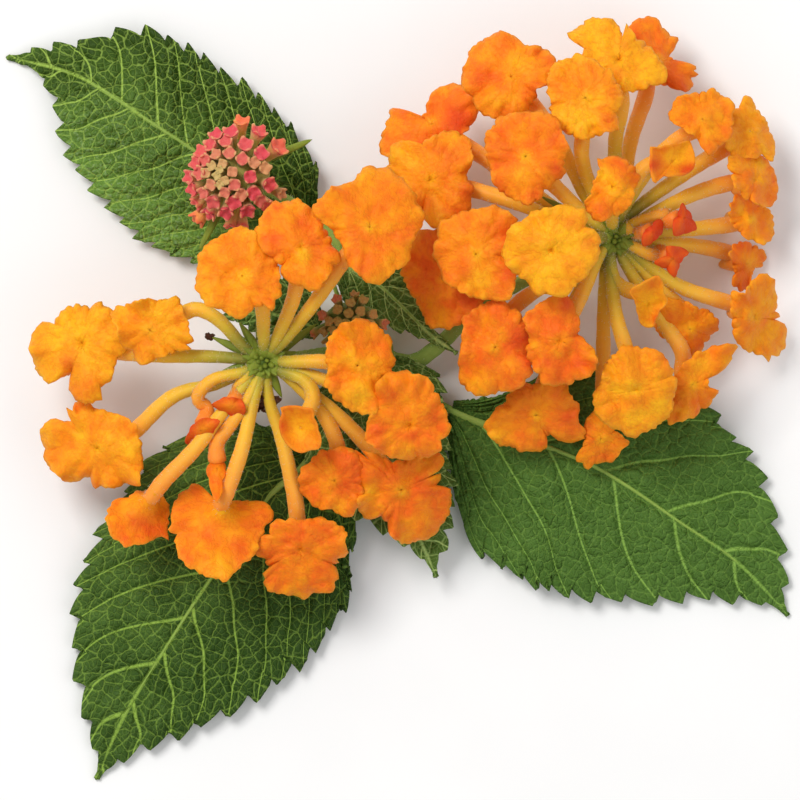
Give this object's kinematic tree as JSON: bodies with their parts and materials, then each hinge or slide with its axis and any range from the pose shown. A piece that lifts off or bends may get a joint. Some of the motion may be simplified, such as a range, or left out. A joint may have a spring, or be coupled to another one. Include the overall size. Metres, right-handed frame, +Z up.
{
  "type": "lantana sprig",
  "caption": "Cut flowering sprig of lantana lying flat, with open heads of tubular orange florets, knobs of unopened buds and broad toothed leaves.",
  "frame": {"origin": "middle of the bounding box in plan, on the surface that the sprig lies on", "axes": "+Z up from the surface, +X to the right and +Y to the top of the view from above"},
  "size_m": [0.0858, 0.0836, 0.0242],
  "materials": {
    "petal": "soft satin petal",
    "bud_pink": "matt, finely downy",
    "bud_green": "matt, finely downy",
    "stem": "matt, hairy",
    "leaf": "rough, slightly glossy between the veins"
  },
  "bodies": {
    "root": {"stem": "stem", "left_head_florets": "petal", "right_head_florets": "petal", "pink_bud_head": "bud_pink", "young_bud_head": "bud_green", "leaf_upper_left": "leaf", "leaf_lower_left": "leaf", "leaf_lower_right": "leaf", "leaf_middle": "leaf", "leaf_upper_middle": "leaf", "leaf_small": "leaf"}
  },
  "joints": []
}
